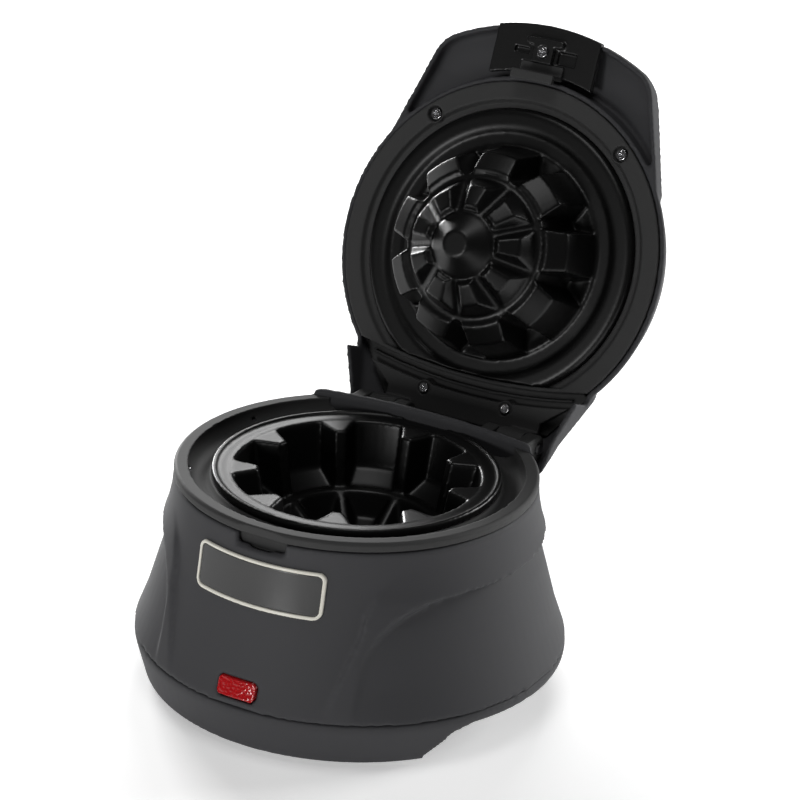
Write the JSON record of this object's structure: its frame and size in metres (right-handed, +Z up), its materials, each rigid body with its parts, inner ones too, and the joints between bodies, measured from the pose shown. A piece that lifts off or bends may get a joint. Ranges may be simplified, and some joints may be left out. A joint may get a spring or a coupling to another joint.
{
  "type": "waffle bowl maker",
  "caption": "Round countertop waffle-bowl maker with a flared dark body, a deep patterned baking cavity and a hinged lid carrying a waffle dome, front handle and latch, shown open.",
  "frame": {"origin": "on the table top, in the middle of the footprint of the machine with its lid open; the drum's own axis stands 44 mm in front of it", "axes": "+X to the user's right as they face the front, +Y to the back where the hinge is, +Z up"},
  "size_m": [0.207, 0.2954, 0.2804],
  "materials": {
    "shell_plastic": "satin charcoal",
    "cover_plastic": "satin charcoal",
    "liner_plastic": "satin black",
    "gloss_plastic": "gloss black",
    "gland_rubber": "matte",
    "foot_rubber": "matte",
    "nonstick_plate": "black non-stick coating, satin",
    "heater_tube": "dull",
    "shield_sheet": "mill finish sheet",
    "bright_steel": "bright",
    "brass_screw": "plain",
    "ceramic_white": "glazed",
    "fuse_body": "glazed",
    "lead_sleeve": "matte sleeve",
    "badge_frame_cream": "satin cream",
    "badge_panel_dark": "satin dark",
    "red_lens": "translucent red",
    "lamp_body": "clear with orange glow"
  },
  "bodies": {
    "base": {"base_housing": "shell_plastic", "rim_ring": "liner_plastic", "bottom_cover": "cover_plastic", "rubber_feet": "foot_rubber", "base_screws": "bright_steel", "lower_plate": "nonstick_plate", "lower_heater": "heater_tube", "lower_heat_shield": "shield_sheet", "shield_screws": "bright_steel", "thermostat": "ceramic_white", "thermal_fuse": "fuse_body", "terminal_block": "ceramic_white", "terminal_screws": "brass_screw", "lower_leads": "lead_sleeve", "cord_gland": "gland_rubber", "badge_frame": "badge_frame_cream", "badge_panel": "badge_panel_dark", "indicator_lens": "red_lens", "indicator_lamp": "lamp_body", "latch_catch": "liner_plastic", "hinge_block": "liner_plastic", "hinge_block_screws": "bright_steel", "hinge_pin": "bright_steel"},
    "lid": {"lid_shell": "shell_plastic", "lid_liner": "liner_plastic", "upper_plate": "nonstick_plate", "upper_heater": "heater_tube", "upper_heat_shield": "shield_sheet", "upper_plate_screws": "bright_steel", "upper_leads": "lead_sleeve", "hinge_bracket": "liner_plastic", "bracket_screws": "bright_steel", "liner_screws": "bright_steel", "latch_pin": "bright_steel", "latch_spring": "bright_steel"},
    "latch": {"latch_lever": "gloss_plastic", "latch_hook": "liner_plastic", "latch_screw": "bright_steel"}
  },
  "joints": [
    {"name": "lid_hinge", "type": "hinge", "parent": "base", "child": "lid", "pos_m": [0, 0.044, 0.097], "axis": [1, 0, 0], "range_deg": [0, 112]},
    {"name": "latch_press", "type": "hinge", "parent": "lid", "child": "latch", "pos_m": [0, 0.1284, 0.25919], "axis": [-1, 0, 0], "range_deg": [0, 6], "stiffness_Nm_per_rad": 0.03, "springref_deg": -17.19}
  ]
}
